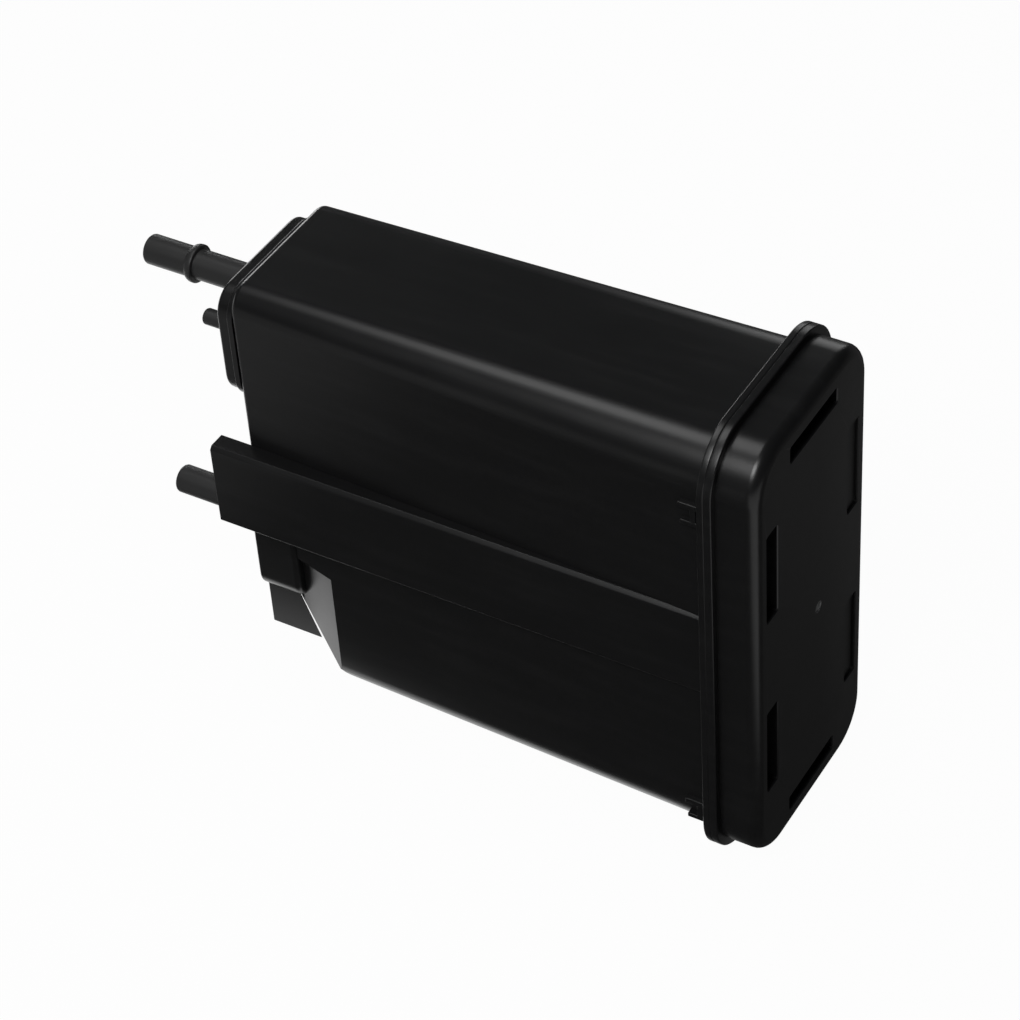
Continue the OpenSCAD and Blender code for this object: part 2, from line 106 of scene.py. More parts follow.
# The weld bead between the flanges: width, distance from the weld line, distance inside the rim, rounding.
BEAD_WIDTH, BEAD_GAP, BEAD_INSET, BEAD_ROUND = 0.0010, 0.00002, 0.0003, 0.0006
# The end cap: start of its box past the weld line, pockets and gate mark.
CAP_START = 0.001
POCKET_CORNER, POCKET_LIP = 0.001, 0.0004
GATE_DEPTH, GATE_LIP, GATE_ROUNDNESS = 0.0005, 0.0003, 0.98
# How far the port cover's weld base stands out round the cover.
BASE_MARGIN = 0.001
# Outline of the tank port's bead: distance from its start or end, and share of its rise.
BEAD_RAMP = ((0.0, 0.0), (0.0005, 0.40), (0.0011, 0.75), (0.0019, 0.94), (0.0026, 1.0))
BEAD_FALL = ((0.0005, 1.0), (0.0002, 0.92), (0.0, 0.75), (0.0, 0.0))

# The floor's width and the height of the foot of the sloping underside, which stands on it.
FLOOR_SIZE, FOOT_HEIGHT = 6.0, 0.01
# Each lamp's name, place, aim, width, height and power in watts.
HEART = (0.0, 0.0, 0.1)
LAMPS = (("overhead", (-0.33, 0.05, 1.20), (-0.33, 0.05, 0.0), 0.45, 0.5, 2.2),
         ("key", (0.08, -0.90, 1.25), HEART, 0.6, 0.6, 11.0),
         ("back", (-0.25, 1.5, 0.50), HEART, 0.5, 0.8, 1.6),
         ("rear", (-1.25, 1.05, 0.25), HEART, 0.6, 0.5, 5.0))
FILL_TINT, FILL_POWER = (0.9, 0.95, 1.0, 1.0), 0.03
# Lens and sensor in millimetres, and the camera's turn and place as found from the photograph's edges.
CAMERA_LENS, CAMERA_SENSOR = 113.16, 36.0
CAMERA_VIEW = Matrix(((0.8639, -0.2961, 0.4075, 0.5311), (0.5005, 0.5948, -0.6290, -0.7978),
                      (-0.0561, 0.7474, 0.6621, 0.9429), (0.0, 0.0, 0.0, 1.0)))


def length(name, description, default):
    """A size in metres with its name and tooltip."""
    return FloatProperty(name=name, description=description, default=default, min=0.0,
                         unit="LENGTH", subtype="DISTANCE", precision=4)


def angle(name, description, degrees):
    """An angle with its name and tooltip."""
    return FloatProperty(name=name, description=description, default=math.radians(degrees), subtype="ANGLE")


def colour(name, description, default):
    """A colour with its name and tooltip."""
    return FloatVectorProperty(name=name, description=description, default=default, size=3,
                               min=0.0, max=1.0, subtype="COLOR")


class CanisterBodySizes(bpy.types.PropertyGroup):
    """Sizes of the body moulding."""
    port_end_depth: length("Port end depth", "Depth of the box at the port end", 0.071)
    port_end_height: length("Port end height", "Height of the box at the port end", 0.192)
    port_end_corner: length("Port end corner", "Corner radius at the port end", 0.010)
    port_end_round: length("Port end rounding", "Rounding of the rim of the port end", 0.0025)
    mouth_depth: length("Mouth depth", "Depth of the box at the flange", 0.086)
    mouth_height: length("Mouth height", "Height of the box at the flange", 0.197)
    mouth_corner: length("Mouth corner", "Corner radius at the flange", 0.017)
    flange_thickness: length("Flange thickness", "Thickness of each half of the weld flange", 0.003)
    flange_corner: length("Flange corner", "Corner radius of the weld flange", 0.0235)
    weld_groove: length("Weld groove", "Chamfer on each side of the weld line", 0.0008)
    duct_front: length("Duct front", "Distance of the duct's front from the middle of the box", 0.044)
    duct_top: length("Duct top", "Height of the duct's upper edge", 0.1277)
    duct_bottom: length("Duct bottom", "Height of the duct's lower edge", 0.0877)
    duct_overhang: length("Duct overhang", "How far the duct stands past the port end", 0.013)
    duct_ledge: length("Duct ledge", "Depth of the flat top of the duct", 0.0085)
    duct_depth: length("Duct depth", "Depth of the duct past the port end", 0.016)
    duct_fall: length("Duct fall", "How far the duct's top falls towards the back", 0.011)
    duct_bevel: length("Duct bevel", "Bevel along the duct's front edges", 0.0015)
    vent_tube: length("Vent port radius", "Outside radius of the vent port", 0.0059)
    vent_bore: length("Vent port bore", "Inside radius of the vent port", 0.004)
    facet_length: length("Facet length", "Length of the slanted facet from the port end", 0.0331)
    facet_turn: angle("Facet turn", "Angle of the slanted facet to the front", 26)
    facet_top: length("Facet top", "Height of the facet's upper end at its front", 0.0689)
    facet_top_fall: angle("Facet top fall", "Fall of the facet's upper end towards the cap", 17.5)
    brow_length: length("Brow length", "Distance from the port end of the wall left above the facet", 0.0175)
    brow_turn: angle("Brow turn", "Angle of the end of that wall to the front", 58)
    slope_length: length("Slope length", "Length of the sloping underside from the port end", 0.0407)
    slope_rise: angle("Slope rise", "Angle of the sloping underside", 42)
    housing_half: length("Housing half depth", "Half the depth of the vent housing", 0.0305)
    housing_low: length("Housing underside", "Height of the vent housing's underside", 0.0415)
    housing_reach: length("Housing reach", "How far the vent housing stands past the port end", 0.008)
    housing_length: length("Housing length", "Length of the vent housing", 0.0203)
    housing_round: length("Housing rounding", "Lower edge radius of the vent housing", 0.009)
    tongue_thickness: length("Tongue thickness", "Thickness of the mounting tongue", 0.004)
    tongue_length: length("Tongue length", "Length of the tongue's lower edge", 0.0246)
    tongue_top: length("Tongue top", "Length of the tongue at the housing", 0.0159)
    tongue_taper: length("Tongue taper", "How much shorter the tongue is at its back", 0.0062)
    tongue_inset: length("Tongue inset", "Distance of the tongue from the housing's front", 0.005)
    tongue_drop: length("Tongue drop", "How far the tongue hangs below the housing", 0.022)


class CanisterCapSizes(bpy.types.PropertyGroup):
    """Sizes of the end cap."""
    half_depth: length("Half depth", "Half the depth of the cap", 0.046)
    half_height: length("Half height", "Half the height of the cap", 0.103)
    corner: length("Corner", "Corner radius of the cap", 0.020)
    edge_round: length("Edge rounding", "Rounding round the end face", 0.005)
    pocket_depth: length("Pocket depth", "Depth of the blind pockets", 0.006)
    shallow_depth: length("Shallow pocket depth", "Depth of the two pockets at the plain side", 0.001)
    side_pocket_width: length("Side pocket width", "Width of the four side pockets", 0.0095)
    side_pocket_length: length("Side pocket length", "Length of the four side pockets", 0.043)
    side_pocket_out: length("Side pocket place", "Distance of the side pockets from the middle", 0.03375)
    side_pocket_up: length("Side pocket height", "Height of the side pockets over the middle", 0.0445)
    end_pocket_width: length("End pocket width", "Width of the top and bottom pockets", 0.008)
    end_pocket_length: length("End pocket length", "Length of the top and bottom pockets", 0.039)
    end_pocket_up: length("End pocket place", "Distance of these pockets from the middle", 0.090)
    gate_radius: length("Gate mark", "Radius of the round moulding mark", 0.0025)
    gate_back: length("Gate mark place", "Distance of the mark from the middle towards the plain side", 0.005)
    gate_down: length("Gate mark drop", "How far the mark lies below the middle", 0.004)


class CanisterCoverSizes(bpy.types.PropertyGroup):
    """Sizes of the port cover and its tubes."""
    half_depth: length("Half depth", "Half the depth of the cover", 0.032)
    half_height: length("Half height", "Half the height of the cover", 0.02525)
    forward: length("Forward shift", "How far the cover sits towards the duct side", 0.002)
    corner: length("Corner", "Corner radius of the cover", 0.011)
    thickness: length("Thickness", "Thickness of the cover", 0.008)
    base: length("Base", "Thickness of the cover's weld base", 0.0025)
    edge_round: length("Edge rounding", "Rounding round the cover's face", 0.0016)
    tank_tube: length("Tank port radius", "Outside radius of the tank port", 0.0063)
    tank_bore: length("Tank port bore", "Inside radius of the tank port", 0.0043)
    bead: length("Bead radius", "Radius of the bead on the tank port", 0.008)
    bead_width: length("Bead width", "Width of the bead", 0.004)
    bead_setback: length("Bead setback", "Distance of the bead from the tip", 0.022)
    tank_up: length("Tank port height", "Height of the tank port", 0.17945)
    purge_tube: length("Purge port radius", "Outside radius of the purge port", 0.0034)
    purge_bore: length("Purge port bore", "Inside radius of the purge port", 0.0019)
    purge_length: length("Purge port length", "Length of the purge port", 0.016)
    purge_forward: length("Purge port place", "Distance of the purge port from the middle", 0.020)
    purge_up: length("Purge port height", "Height of the purge port", 0.17295)


class CanisterColours(bpy.types.PropertyGroup):
    """Colours of the finishes."""
    black: colour("Black plastic", "Moulded body, cap and cover", (0.008, 0.008, 0.0083))
    # Scuffed streaks, and the tubes' lighter black, which is partly painted light.
    scuff_and_painted_light: colour("Scuffed plastic", "Rubbed places on the black plastic", (0.032, 0.032, 0.032))
    # Pale gate mark: partly whitened plastic, partly a painted highlight.
    torn_and_painted_glint: colour("Torn plastic", "Gate mark in the end face", (0.24, 0.24, 0.24))
    natural: colour("Natural plastic", "Screens and pressure plates", (0.78, 0.75, 0.67))
    felt: colour("Felt", "Needled felt filters", (0.55, 0.53, 0.48))
    carbon: colour("Carbon", "Carbon pellets", (0.018, 0.018, 0.019))
    steel: colour("Spring steel", "Drawn spring wire", (0.56, 0.57, 0.60))
    floor: colour("Floor", "Pale studio floor", (0.80, 0.80, 0.80))


class Value:
    """A shader socket that takes part in plain arithmetic, each step adding a Math node."""

    def __init__(self, maker, socket):
        self.maker = maker
        self.socket = socket

    def math(self, operation, *others):
        """The result of a Math node on the given values."""
        return self.maker.node("ShaderNodeMath", {"operation": operation}, dict(enumerate(others)))[0]

    def __add__(self, other):
        return self.math("ADD", self, other)

    def __sub__(self, other):
        return self.math("SUBTRACT", self, other)

    def __rsub__(self, other):
        return self.math("SUBTRACT", other, self)

    def __mul__(self, other):
        return self.math("MULTIPLY", self, other)

    def __pow__(self, other):
        return self.math("POWER", self, other)

    __radd__ = __add__


class Finish:
    """Makes the nodes of one material or of the world."""

    def __init__(self, owner):
        owner.use_nodes = True
        self.tree = owner.node_tree
        self.tree.nodes.clear()

    def node(self, kind, settings, sockets):
        """Adds a node, sets it, fills or links its sockets and gives back its outputs."""
        made = self.tree.nodes.new(kind)
        for name, setting in settings.items():
            setattr(made, name, setting)
        for name, given in sockets.items():
            if isinstance(given, Value):
                self.tree.links.new(given.socket, made.inputs[name])
            else:
                made.inputs[name].default_value = given
        return [Value(self, socket) for socket in made.outputs]

    def place(self, stretch=EVEN):
        """Object coordinates, stretched by three factors."""
        spot = self.node("ShaderNodeTexCoord", {}, {})[OBJECT_SPOT]
        return self.node("ShaderNodeMapping", {}, {"Vector": spot, "Scale": stretch})[0]

    def axes(self):
        """The three object coordinates, one by one."""
        return self.node("ShaderNodeSeparateXYZ", {}, {0: self.place()})

    def noise(self, scale, detail=3.0, rough=0.5, stretch=EVEN):
        """Noise from 0 to 1 at a scale per metre."""
        return self.node("ShaderNodeTexNoise", {}, {
            "Vector": self.place(stretch), "Scale": scale, "Detail": detail, "Roughness": rough})[0]

    def band(self, value, low, high):
        """Smooth step of a value from low to high."""
        return self.node("ShaderNodeMapRange", {"interpolation_type": "SMOOTHSTEP"}, {
            "Value": value, "From Min": low, "From Max": high})[0]

    def blend(self, factor, first, second):
        """Mixes two colours."""
        return self.node("ShaderNodeMix", {"data_type": "RGBA"}, {0: factor, 6: first, 7: second})[2]

    def bump(self, height, strength, distance):
        """Normals that follow a height, which counts in steps of a distance."""
        return self.node("ShaderNodeBump", {}, {
            "Height": height, "Strength": strength, "Distance": distance})[0]

    def glow(self, shade):
        """A shader that gives off one colour."""
        return self.node("ShaderNodeEmission", {}, {"Color": shade, "Strength": 1.0})[0]

    def mix(self, factor, first, second):
        """Mixes two shaders."""
        return self.node("ShaderNodeMixShader", {}, {0: factor, 1: first, 2: second})[0]

    def surface(self, sockets):
        """Principled shader on the material's output."""
        shader = self.node("ShaderNodeBsdfPrincipled", {}, sockets)[0]
        self.node("ShaderNodeOutputMaterial", {}, {"Surface": shader})


def rgba(shade, gain=1.0):
    """A colour made lighter or darker, for a socket."""
    return (shade[0] * gain, shade[1] * gain, shade[2] * gain, 1.0)


def finish_named(name):
    """The material of that name, and a maker if it is new."""
    if name in bpy.data.materials:
        return bpy.data.materials[name], None
    made = bpy.data.materials.new(name)
    return made, Finish(made)


def black_plastic(shades, name="moulded_black", wear_and_painted_light=0.0, matt=0.0):
    """Satin black moulding: fine grain, slow waves, faint scuffed streaks, and walls that bow in; extra wear
    lifts the whole tint towards the pale shade, which on the tubes is painted light as well as wear.
    """
    made, f = finish_named(name)
    if f:
        waves = f.noise(28.0, detail=2.0)
        patches = f.noise(75.0, detail=4.0)
        grain = f.noise(700.0, detail=0.0)
        streaks = f.band(f.noise(24.0, stretch=(1.0, 9.0, 9.0)), 0.40, 0.85)
        # The streaks are real scuffs; the extra wear lightens the whole tint, which on the tubes is painted
        # light as well as wear.
        rub_and_painted_light = streaks * 0.14 + wear_and_painted_light
        tint = f.blend(rub_and_painted_light, rgba(shades.black), rgba(shades.scuff_and_painted_light))
        gloss = patches * 0.03 + rub_and_painted_light * 0.16 + (LEAST_ROUGH + matt)
        inward = f.axes()[1] - BOW_START
        bow = inward.math("MAXIMUM", inward, 0.0) ** 2.0 * BOW_RATE
        height = grain * 0.006 + waves * 0.115 - bow
        f.surface({"Base Color": tint, "Roughness": gloss, "Normal": f.bump(height, 1.0, 0.001),
                   "IOR": 1.48})
    return made


def gate_plastic(shades):
    """Torn moulding gate, pale in patches: partly whitened plastic, partly a painted highlight where the mark
    catches light.
    """
    made, f = finish_named("torn_gate_painted_glint")
    if f:
        # The pale patches of the tint are partly a painted highlight; the same noise roughens and dents the
        # mark.
        tears_and_painted_glint = f.noise(900.0, detail=4.0, rough=0.6)
        tint = f.blend(f.band(tears_and_painted_glint, 0.25, 0.55), rgba(shades.scuff_and_painted_light), rgba(shades.torn_and_painted_glint))
        f.surface({"Base Color": tint, "Roughness": 0.35 + tears_and_painted_glint * 0.3,
                   "Normal": f.bump(tears_and_painted_glint, 0.6, 0.0003)})
    return made


def natural_plastic(shades):
    """Milky unpainted moulding with flow clouds and a fine grain."""
    made, f = finish_named("moulded_natural")
    if f:
        clouds = f.noise(60.0, detail=4.0)
        grain = f.noise(2200.0, detail=2.0)
        tint = f.blend(f.band(clouds, 0.35, 0.7), rgba(shades.natural), rgba(shades.natural, 0.86))
        f.surface({"Base Color": tint, "Roughness": 0.42 + clouds * 0.12,
                   "Normal": f.bump(grain, 0.2, 0.0001), "Subsurface Weight": 0.05})
    return made


def needled_felt(shades):
    """Matted fibres in crossing directions."""
    made, f = finish_named("needled_felt")
    if f:
        across = f.noise(900.0, detail=5.0, rough=0.7, stretch=(1.0, 0.12, 1.0))
        along = f.noise(900.0, detail=5.0, rough=0.7, stretch=(1.0, 1.0, 0.12))
        mat = across * 0.5 + along * 0.5
        tint = f.blend(f.band(mat, 0.3, 0.7), rgba(shades.felt, 0.62), rgba(shades.felt, 1.15))
        f.surface({"Base Color": tint, "Roughness": 0.95, "Normal": f.bump(mat, 0.8, 0.0008),
                   "Sheen Weight": 0.3})
    return made


def carbon_pellets(shades):
    """Packed pellets, darker towards the gaps between them as painted shade, with lighter dusty patches on
    their middles.
    """
    made, f = finish_named("carbon_pellets")
    if f:
        cells = f.node("ShaderNodeTexVoronoi", {"feature": "F1"}, {"Vector": f.place(), "Scale": 420.0})
        dust = f.noise(1500.0)
        dome_and_painted_shade = 1.0 - f.band(cells[0], 0.0, 0.65)
        # The tint is darkest in the gaps between pellets, which is painted shade; the bump follows the same
        # domes.
        tint = f.blend(dust * dome_and_painted_shade, rgba(shades.carbon, 0.5), rgba(shades.carbon, 1.9))
        f.surface({"Base Color": tint, "Roughness": 0.62 + dust * 0.25,
                   "Normal": f.bump(dome_and_painted_shade + dust * 0.15, 0.9, 0.001)})
    return made


def drawn_wire(shades):
    """Drawn steel wire with fine draw marks and a thin oil film."""
    made, f = finish_named("drawn_wire")
    if f:
        marks = f.noise(1800.0, rough=0.6, stretch=(0.2, 1.0, 1.0))
        film = f.noise(140.0)
        tint = f.blend(f.band(film, 0.35, 0.75), rgba(shades.steel), rgba(shades.steel, 0.72))
        f.surface({"Base Color": tint, "Metallic": 1.0, "Roughness": 0.22 + marks * 0.2,
                   "Normal": f.bump(marks, 0.15, 0.00005)})
    return made


def round_corners(bm, verts, radius, segments):
    """Rounds corners of a flat face."""
    bmesh.ops.bevel(bm, geom=verts, offset=radius, offset_type="OFFSET", segments=segments, profile=0.5,
                    affect="VERTICES", clamp_overlap=False, material=-1)


def rounded_face(x, y, z, half_y, half_z, corner, segments=10):
    """A bmesh with one rounded rectangle across X."""
    bm = bmesh.new()
    bmesh.ops.create_grid(bm, x_segments=1, y_segments=1, size=1.0, matrix=Matrix((
        (0.0, 0.0, 1.0, x), (half_y, 0.0, 0.0, y), (0.0, half_z, 0.0, z), (0.0, 0.0, 0.0, 1.0))))
    round_corners(bm, bm.verts[:], corner, segments)
    return bm


def flat_face(points):
    """A bmesh with one face through a few points."""
    bm = bmesh.new()
    bm.faces.new([bm.verts.new(p) for p in points])
    return bm


def push(bm, faces, move, hollow=False):
    """Extrudes faces, moves the new ones and gives them back. Hollow takes the old faces away."""
    made = bmesh.ops.extrude_face_region(bm, geom=faces)["geom"]
    bmesh.ops.translate(bm, verts=[g for g in made if isinstance(g, bmesh.types.BMVert)], vec=move)
    if hollow:
        bmesh.ops.delete(bm, geom=faces, context="FACES_ONLY")
    return [g for g in made if isinstance(g, bmesh.types.BMFace)]


def in_plane(edge, spot, outward):
    """Whether an edge lies in a plane."""
    return all(abs((v.co - spot).dot(outward)) < NEAR for v in edge.verts)


def rim(bm, x):
    """Edges that lie in the plane across X at x."""
    return [e for e in bm.edges if in_plane(e, ALONG * x, ALONG)]


def sharp_edges(bm, degrees, least=0.0):
    """Edges with a bend over that angle and at least that long."""
    return [e for e in bm.edges if len(e.link_faces) == 2 and e.calc_length() >= least
            and e.calc_face_angle() > math.radians(degrees)]


def round_edges(bm, edges, radius, segments=3):
    """Rounds edges."""
    bmesh.ops.bevel(bm, geom=edges, offset=radius, offset_type="OFFSET", segments=segments, profile=0.5,
                    affect="EDGES", clamp_overlap=True, material=-1)


def face_out(bm):
    """Merges points that meet and turns the faces outwards."""
    bmesh.ops.remove_doubles(bm, verts=bm.verts[:], dist=MERGED)
    bmesh.ops.recalc_face_normals(bm, faces=bm.faces[:])


def paint(bm, finish):
    """Gives every face one of the black finishes."""
    for face in bm.faces:
        face.material_index = finish


def slab(x0, x1, y, z, half_y, half_z, corner, segments=10):
    """A rounded plate across X from x0 to x1."""
    bm = rounded_face(x0, y, z, half_y, half_z, corner, segments)
    push(bm, bm.faces[:], (x1 - x0, 0.0, 0.0))
    face_out(bm)
    return bm


def block(low, high, radius):
    """A box between two corners with rounded edges."""
    bm = bmesh.new()
    low, high = Vector(low), Vector(high)
    size = Matrix.Diagonal((*(high - low), 1.0))
    bmesh.ops.create_cube(bm, size=1.0, matrix=Matrix.Translation((low + high) / 2) @ size)
    round_edges(bm, bm.edges[:], radius)
    face_out(bm)
    return bm


def turned(profile, y, z, steps=64):
    """A ring turned about a line along X from a closed outline of x and radius."""
    bm = bmesh.new()
    verts = [bm.verts.new((x, y, z + r)) for x, r in profile]
    edges = [bm.edges.new(pair) for pair in zip(verts, verts[1:] + verts[:1])]
    bmesh.ops.spin(bm, geom=verts + edges, cent=(0.0, y, z), axis=(1.0, 0.0, 0.0), dvec=(0.0, 0.0, 0.0),
                   angle=2 * math.pi, steps=steps, use_merge=True, use_duplicate=False)
    face_out(bm)
    # Tubes take the lighter black: partly wear, partly painted light.
    paint(bm, WORN_AND_PAINTED_LIGHT)
    return bm


def cut(bm, spot, outward):
    """Cuts away what lies on the outward side of a plane and closes the cut."""
    made = bmesh.ops.bisect_plane(bm, geom=bm.verts[:] + bm.edges[:] + bm.faces[:], dist=MERGED,
                                  plane_co=spot, plane_no=outward, clear_outer=True, clear_inner=False)
    edges = [g for g in made["geom_cut"] if isinstance(g, bmesh.types.BMEdge)]
    bmesh.ops.contextual_create(bm, geom=edges)
    bmesh.ops.recalc_face_normals(bm, faces=bm.faces[:])


def join(bm, part):
    """Adds one shape to another and frees it."""
    mesh = bpy.data.meshes.new("part")
    part.to_mesh(mesh)
    part.free()
    bm.from_mesh(mesh)
    bpy.data.meshes.remove(mesh)


def put(name, data):
    """A new object in the scene."""
    made = bpy.data.objects.new(name, data)
    bpy.context.scene.collection.objects.link(made)
    return made


def piece(name, bm, shades, node):
    """Turns a bmesh of the black moulding into a finished piece that stands for a CAD node."""
    mesh = bpy.data.meshes.new(name)
    bm.to_mesh(mesh)
    bm.free()
    for face in mesh.polygons:
        face.use_smooth = True
    mesh.set_sharp_from_angle(angle=SHARP_BEND)
    # The second finish lightens the black for the tubes, partly wear and partly painted light.
    for finish in (black_plastic(shades), black_plastic(shades, "worn_and_painted_light_black", wear_and_painted_light=0.8),
                   black_plastic(shades, "matt_black", matt=0.30), gate_plastic(shades)):
        mesh.materials.append(finish)
    made = put(name, mesh)
    normals = made.modifiers.new("even_normals", "WEIGHTED_NORMAL")
    normals.mode = "FACE_AREA"
    normals.keep_sharp = True
    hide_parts(node)
    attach(made, "root")


def drafted_box(s):
    """The box of the body from the port end to the flange, its corners growing towards the flange."""
    x1 = WELD - s.flange_thickness
    bm = rounded_face(PORT_END, 0.0, MIDDLE, s.port_end_depth / 2, s.port_end_height / 2,
                      s.port_end_corner)
    join(bm, rounded_face(x1, 0.0, MIDDLE, s.mouth_depth / 2, s.mouth_height / 2, s.mouth_corner))
    bmesh.ops.bridge_loops(bm, edges=[e for e in bm.edges if e.is_boundary])
    face_out(bm)
    round_edges(bm, rim(bm, PORT_END), s.port_end_round, 6)
    return bm


def upper_box(s):
    """The box above the lower edge of the duct."""
    bm = drafted_box(s)
    cut(bm, UP * s.duct_bottom, -UP)
    return bm


def lower_box(s):
    """The box below the duct: the slanted facet, the wall left above it and the sloping underside."""
    run = WELD - s.flange_thickness - PORT_END

    def half(narrow, wide, x):
        """Half the drafted depth or height at a distance from the port end."""
        return (narrow + (wide - narrow) * x / run) / 2

    facet = (PORT_END + s.facet_length, -half(s.port_end_depth, s.mouth_depth, s.facet_length), 0.0)
    facet_out = (-math.sin(s.facet_turn), -math.cos(s.facet_turn), 0.0)
    brow = Vector((PORT_END + s.brow_length, -half(s.port_end_depth, s.mouth_depth, s.brow_length), 0.0))
    brow_out = (-math.sin(s.brow_turn), -math.cos(s.brow_turn), 0.0)
    foot_z = MIDDLE - half(s.port_end_height, s.mouth_height, s.slope_length)
    slope_out = (-math.sin(s.slope_rise), 0.0, -math.cos(s.slope_rise))
    seam = Vector((PORT_END + s.facet_length, 0.0, s.facet_top))
    seam_up = Vector((math.sin(s.facet_top_fall), 0.0, math.cos(s.facet_top_fall)))
    duct_edge = UP * s.duct_bottom
    low, high = drafted_box(s), drafted_box(s)
    cut(low, seam, seam_up)
    cut(low, facet, facet_out)
    cut(low, (PORT_END + s.slope_length, 0.0, foot_z), slope_out)
    cut(high, duct_edge, UP)
    cut(high, seam, -seam_up)
    cut(high, brow, brow_out)
    # Edges in these planes meet another shape, so they stay sharp.
    meetings = ((duct_edge, UP), (seam, seam_up), (brow, ALONG))
    for part in (low, high):
        edges = [e for e in sharp_edges(part, degrees=17, least=0.0004)
                 if not any(in_plane(e, *meeting) for meeting in meetings)]
        round_edges(part, edges, BOX_ROUND)
        face_out(part)
    join(low, high)
    return low


def duct(s):
    """The duct with its bevelled front edges and the deeper head past the port end."""
    x0, x1, front = PORT_END - s.duct_overhang, WELD - s.flange_thickness, -s.duct_front
    split, back = front + DUCT_RAIL, front + s.duct_depth
    fall = s.duct_fall * (DUCT_RAIL - s.duct_ledge) / (s.duct_depth - s.duct_ledge)
    bm = bmesh.new()
    spots = [(front, s.duct_bottom + s.duct_bevel), (front, s.duct_top - s.duct_bevel),
             (front + s.duct_bevel, s.duct_top), (front + s.duct_ledge, s.duct_top),
             (split, s.duct_top - fall), (split, s.duct_bottom), (front + s.duct_bevel, s.duct_bottom),
             (back, s.duct_top - s.duct_fall), (back, s.duct_bottom)]
    v = [bm.verts.new((x0, y, z)) for y, z in spots]
    bm.faces.new(v[:7])
    bm.faces.new((v[4], v[7], v[8], v[5]))
    ends = push(bm, bm.faces[:], (s.duct_overhang + HEAD_ROOT, 0.0, 0.0))
    rail = min(ends, key=lambda f: f.calc_center_median().y)
    push(bm, [rail], (x1 - PORT_END - HEAD_ROOT, 0.0, 0.0), hollow=True)
    face_out(bm)
    bmesh.ops.dissolve_limit(bm, angle_limit=math.radians(0.5), verts=bm.verts[:], edges=bm.edges[:])
    edges = [e for e in sharp_edges(bm, degrees=20) if not in_plane(e, ALONG * x1, ALONG)]
    round_edges(bm, edges, DUCT_ROUND, 2)
    face_out(bm)
    return bm


def vent_housing(s):
    """The housing below the duct, rounded along its lower edges."""
    x0, top = PORT_END - s.housing_reach, s.duct_bottom + HOUSING_ROOT
    bm = flat_face([(x0, -s.housing_half, top), (x0, s.housing_half, top),
                    (x0, s.housing_half, s.housing_low), (x0, -s.housing_half, s.housing_low)])
    round_corners(bm, [v for v in bm.verts if v.co.z < top - NEAR], s.housing_round, 10)
    push(bm, bm.faces[:], (s.housing_length, 0.0, 0.0))
    face_out(bm)
    round_edges(bm, rim(bm, x0 + s.housing_length), HOUSING_CAP_RIM, 5)
    round_edges(bm, rim(bm, x0), HOUSING_PORT_RIM, 4)
    face_out(bm)
    return bm


def mounting_tongue(s):
    """The flat tongue that hangs below the vent housing, its end slanted at the back."""
    x0, y0 = PORT_END - s.housing_reach, -s.housing_half + s.tongue_inset
    low, top = s.housing_low - s.tongue_drop, s.housing_low + TONGUE_ROOT
    bm = flat_face([(x0, y0, low), (x0 + s.tongue_length, y0, low),
                    (x0 + s.tongue_top, y0, top), (x0, y0, top)])
    back = push(bm, bm.faces[:], (0.0, s.tongue_thickness, 0.0))
    slant = [v for v in back[0].verts if v.co.x > x0 + NEAR]
    bmesh.ops.translate(bm, verts=slant, vec=(-s.tongue_taper, 0.0, 0.0))
    face_out(bm)
    round_edges(bm, bm.edges[:], TONGUE_ROUND)
    face_out(bm)
    paint(bm, MATT)
    return bm


def catch_ribs(s, z):
    """A small catch beside the flange: two short ribs joined by an upright one."""
    x, y = WELD - s.flange_thickness, -s.mouth_depth / 2
    bm = bmesh.new()
    for start, end, low, high, stand in CATCH_RIBS:
        join(bm, block((x + start, y - stand, z + low), (x + end, y + RIB_ROOT, z + high), RIB_ROUND))
    return bm


def tube_outline(tip, base, outer, bore, foot):
    """Outline of a plain port tube: lead-ins at the tip and a small fillet of size foot at its base."""
    lead, face = min(TIP_LEAD, (outer - bore) * 0.5), base - TUBE_ROOT
    return [(base, bore), (tip + BORE_LEAD, bore), (tip, bore + BORE_LEAD), (tip, outer - lead * 0.6),
            (tip + lead * 0.35, outer - lead * 0.25), (tip + lead, outer), (face - foot, outer),
            (face - foot * 0.5, outer + foot * 0.14), (face - foot * 0.14, outer + foot * 0.5),
            (face, outer + foot), (base, outer + foot)]


class CANISTER_OT_body(bpy.types.Operator):
    """Builds the body moulding with its flange, duct, vent housing, tongue, catches and vent port"""
    bl_idname = "canister.body"
    bl_label = "Body moulding"

    def execute(self, context):
        s = context.scene.canister_body_sizes
        bm = upper_box(s)
        for shape in (lower_box, duct, vent_housing, mounting_tongue):
            join(bm, shape(s))
        for z in CATCH_HEIGHTS:
            join(bm, catch_ribs(s, z))
        face = WELD - s.flange_thickness
        flange = slab(face, WELD, 0.0, MIDDLE, *FLANGE_HALF, s.flange_corner, 14)
        round_edges(flange, rim(flange, WELD), s.weld_groove)
        round_edges(flange, rim(flange, face), FLANGE_ROUND)
        join(bm, flange)
        start = WELD - BEAD_WIDTH
        half_y, half_z = (half - BEAD_INSET for half in FLANGE_HALF)
        bead = slab(start, WELD - BEAD_GAP, 0.0, MIDDLE, half_y, half_z, s.flange_corner - BEAD_INSET, 14)
        round_edges(bead, rim(bead, start), BEAD_ROUND)
        join(bm, bead)
        base = PORT_END - s.duct_overhang + TUBE_ROOT
        tube = tube_outline(BODY_LOW.x, base, s.vent_tube, s.vent_bore, foot=0.0009)
        join(bm, turned(tube, -s.duct_front + VENT_PORT_IN, VENT_PORT_UP))
        piece("body_shell", bm, context.scene.canister_colours, "canister_body")
        return {"FINISHED"}


